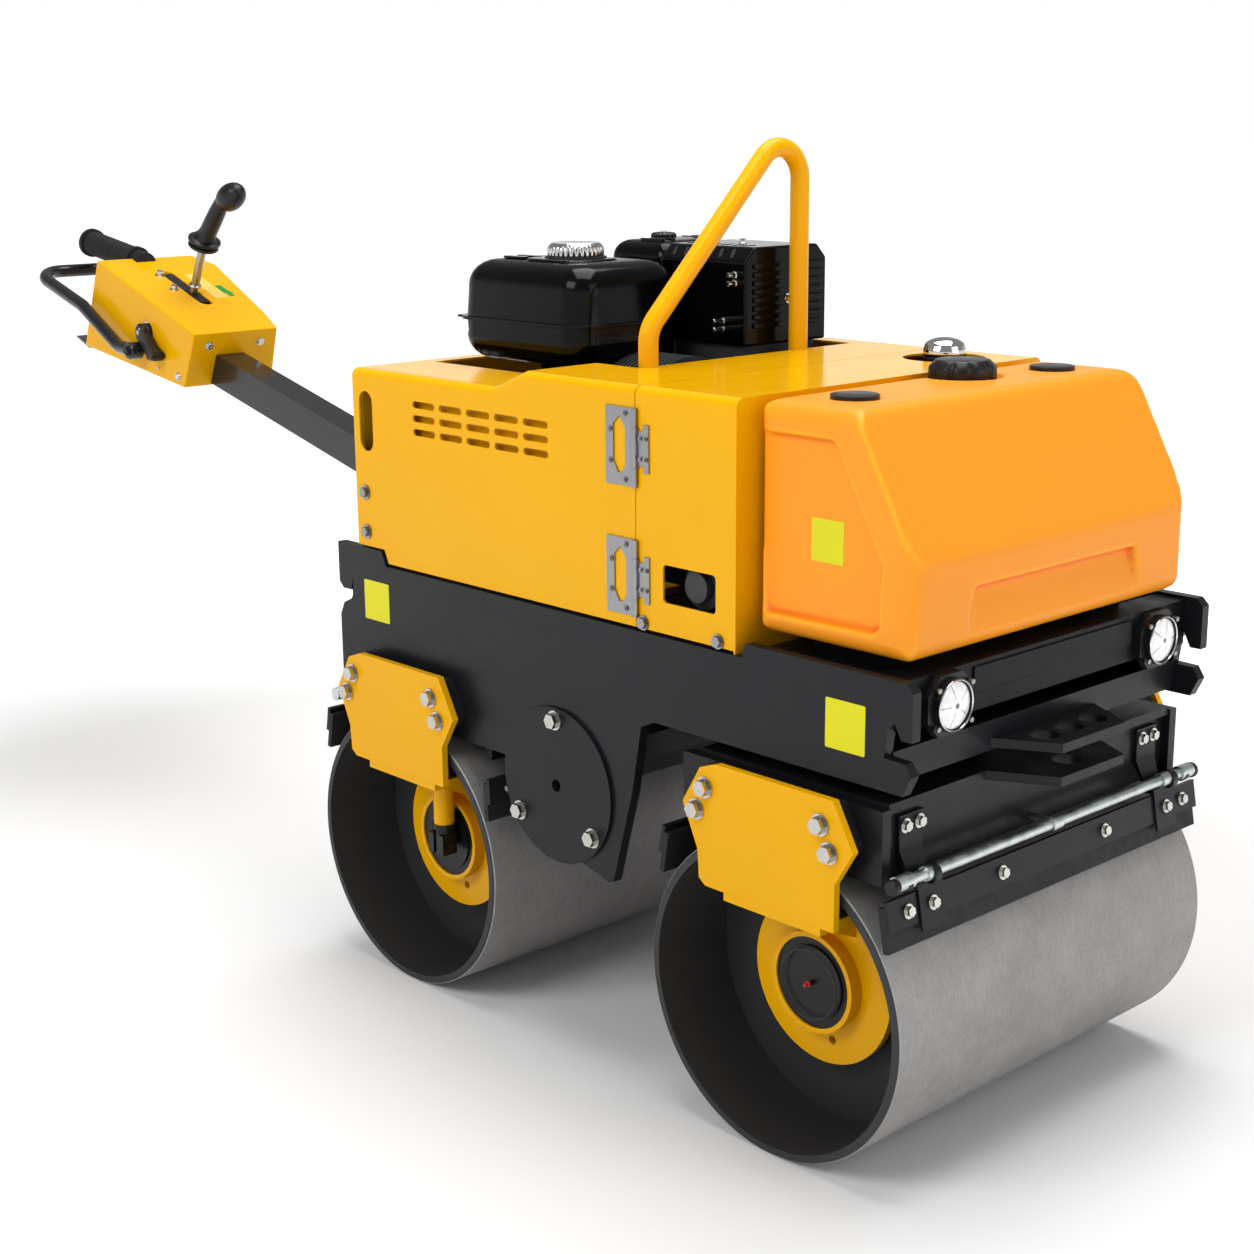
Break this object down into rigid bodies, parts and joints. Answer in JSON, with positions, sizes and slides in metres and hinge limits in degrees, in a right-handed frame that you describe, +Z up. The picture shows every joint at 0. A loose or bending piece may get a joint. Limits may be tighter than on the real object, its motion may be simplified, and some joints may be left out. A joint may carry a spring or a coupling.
{
  "type": "walk behind vibratory roller",
  "caption": "Pedestrian roller with two smooth steel drums, engine bay with side doors, water tank, lifting bow and a hinged steering tiller with levers.",
  "frame": {"origin": "middle of the length and width, on the ground under the drums", "axes": "+X forward to the water tank, +Y to the far side of the picture, +Z up; the tiller points to -X"},
  "size_m": [2.5074, 0.707, 1.267],
  "materials": {
    "body_yellow": "glossy yellow paint",
    "tank_orange": "moulded plastic with a fine grain",
    "frame_dark": "semi-gloss dark grey paint on plate steel",
    "drum_steel": "turned steel, worn by rolling",
    "zinc": "zinc plated",
    "stainless": "brushed sheet",
    "chrome_bright": "polished",
    "black_plastic": "moulded",
    "black_rubber": "matt",
    "engine_black": "gloss black",
    "cast_grey": "painted casting",
    "lens": "clear"
  },
  "bodies": {
    "chassis": {"near_side_plate": "frame_dark", "far_side_plate": "frame_dark", "engine_deck": "frame_dark", "front_upper_beam": "frame_dark", "front_lower_beam": "frame_dark", "rear_cross_beam": "frame_dark", "round_covers": "frame_dark", "front_housing": "body_yellow", "fixed_panels": "body_yellow", "fixed_hinges": "stainless", "water_tank": "tank_orange", "tank_plugs": "black_plastic", "hydraulic_tank": "frame_dark", "lifting_bow": "body_yellow", "engine_block": "engine_black", "recoil_starter": "engine_black", "fuel_tank": "engine_black", "air_cleaner": "black_plastic", "muffler": "zinc", "muffler_guard": "engine_black", "hydraulic_pump": "cast_grey", "lamp_housings": "black_plastic", "lamp_lenses": "lens", "rear_near_carrier": "body_yellow", "rear_far_carrier": "body_yellow", "rear_carrier_pads": "black_rubber", "rear_carrier_bolts": "zinc", "rear_hub_caps": "black_plastic", "rear_hub_bearings": "zinc", "rear_scrapers": "frame_dark", "rear_scraper_blades": "black_rubber", "rear_spray_bar": "zinc"},
    "front_yoke": {"front_yoke": "frame_dark", "front_near_carrier": "body_yellow", "front_far_carrier": "body_yellow", "front_carrier_pads": "black_rubber", "front_carrier_bolts": "zinc", "front_hub_caps": "black_plastic", "front_hub_bearings": "zinc", "front_scrapers": "frame_dark", "front_scraper_blades": "black_rubber", "front_spray_bar": "zinc"},
    "front_drum": {"front_drum": "drum_steel"},
    "rear_drum": {"rear_drum": "drum_steel"},
    "front_exciter": {"front_exciter_shaft": "cast_grey"},
    "rear_exciter": {"rear_exciter_shaft": "cast_grey"},
    "tiller": {"tiller_arm": "frame_dark", "control_box": "body_yellow", "hand_grip": "black_rubber"},
    "drive_lever": {"drive_lever": "black_plastic"},
    "loop_bar": {"loop_bar": "frame_dark"},
    "throttle_lever": {"throttle_lever": "black_plastic"},
    "near_door": {"near_door": "body_yellow", "near_door_fittings": "stainless"},
    "far_door": {"far_door": "body_yellow", "far_door_fittings": "stainless"},
    "water_cap": {"water_cap": "black_plastic"},
    "hydraulic_cap": {"hydraulic_cap": "chrome_bright"},
    "fuel_cap": {"fuel_cap": "zinc"},
    "crankshaft": {"crankshaft": "zinc"}
  },
  "joints": [
    {"name": "front_yoke_swivel", "type": "hinge", "parent": "chassis", "child": "front_yoke", "pos_m": [1.00875, 0, 0.52], "axis": [0, 0, 1], "range_deg": [-8, 8]},
    {"name": "rear_drum_spin", "type": "hinge", "parent": "chassis", "child": "rear_drum", "pos_m": [0.24875, 0, 0.2125], "axis": [0, 1, 0], "continuous": true},
    {"name": "front_drum_spin", "type": "hinge", "parent": "front_yoke", "child": "front_drum", "pos_m": [1.00875, 0, 0.2125], "axis": [0, 1, 0], "continuous": true},
    {"name": "rear_exciter_spin", "type": "hinge", "parent": "rear_drum", "child": "rear_exciter", "pos_m": [0.24875, 0, 0.2125], "axis": [0, 1, 0], "continuous": true},
    {"name": "front_exciter_spin", "type": "hinge", "parent": "front_drum", "child": "front_exciter", "pos_m": [1.00875, 0, 0.2125], "axis": [0, 1, 0], "continuous": true},
    {"name": "tiller_lift", "type": "hinge", "parent": "chassis", "child": "tiller", "pos_m": [0.06375, 0, 0.65], "axis": [0, 1, 0], "range_deg": [0, 60]},
    {"name": "drive_lever_swing", "type": "hinge", "parent": "tiller", "child": "drive_lever", "pos_m": [-0.87025, 0.022, 0.955], "axis": [0, 1, 0], "range_deg": [-18, 18]},
    {"name": "loop_bar_swing", "type": "hinge", "parent": "tiller", "child": "loop_bar", "pos_m": [-0.86325, 0, 0.874], "axis": [0, 1, 0], "range_deg": [-8, 2]},
    {"name": "throttle_swing", "type": "hinge", "parent": "tiller", "child": "throttle_lever", "pos_m": [-0.85325, -0.0874, 0.908], "axis": [0, 1, 0], "range_deg": [-25, 20]},
    {"name": "near_door_hinge", "type": "hinge", "parent": "chassis", "child": "near_door", "pos_m": [0.75275, -0.311, 0.8], "axis": [0, 0, 1], "range_deg": [0, 110]},
    {"name": "far_door_hinge", "type": "hinge", "parent": "chassis", "child": "far_door", "pos_m": [0.75275, 0.311, 0.8], "axis": [0, 0, -1], "range_deg": [0, 110]},
    {"name": "water_cap_turn", "type": "hinge", "parent": "chassis", "child": "water_cap", "pos_m": [0.98175, 0.063, 0.96], "axis": [0, 0, 1], "range_deg": [0, 180]},
    {"name": "hydraulic_cap_turn", "type": "hinge", "parent": "chassis", "child": "hydraulic_cap", "pos_m": [0.83575, 0.209, 0.966], "axis": [0, 0, 1], "range_deg": [0, 180]},
    {"name": "fuel_cap_turn", "type": "hinge", "parent": "chassis", "child": "fuel_cap", "pos_m": [0.34875, -0.05, 1.1], "axis": [0, 0, 1], "range_deg": [0, 90]},
    {"name": "crankshaft_spin", "type": "hinge", "parent": "chassis", "child": "crankshaft", "pos_m": [0.40875, 0, 0.8], "axis": [1, 0, 0], "continuous": true}
  ],
  "couplings": [
    {"joint": "front_drum_spin", "follows": "rear_drum_spin", "ratio": 1}
  ]
}
